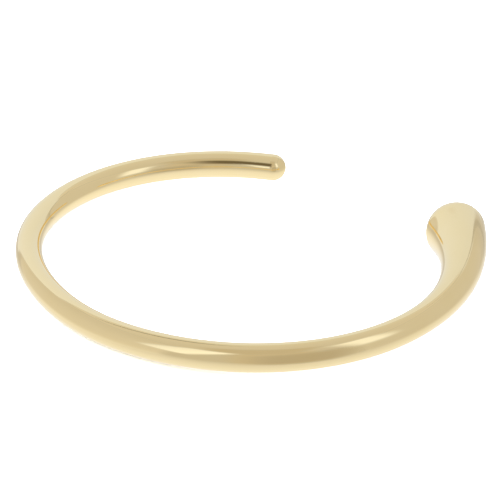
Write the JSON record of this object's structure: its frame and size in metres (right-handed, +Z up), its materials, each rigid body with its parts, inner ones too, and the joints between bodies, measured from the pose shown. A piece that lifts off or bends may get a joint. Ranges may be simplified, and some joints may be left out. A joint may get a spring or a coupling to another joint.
{
  "type": "bangle",
  "caption": "Open oval bangle for the wrist: a plain rounded bar, with one end rounded over and the other swelling into a smooth drop.",
  "frame": {"origin": "on the floor under the middle of the piece's box, as it lies by itself", "axes": "+Z up, +X along the oval's length towards the drop's side, +Y towards the gap between the ends"},
  "size_m": [0.0692, 0.0598, 0.0089],
  "materials": {
    "gold": "polished yellow gold"
  },
  "bodies": {
    "root": {"bangle": "gold"}
  },
  "joints": []
}
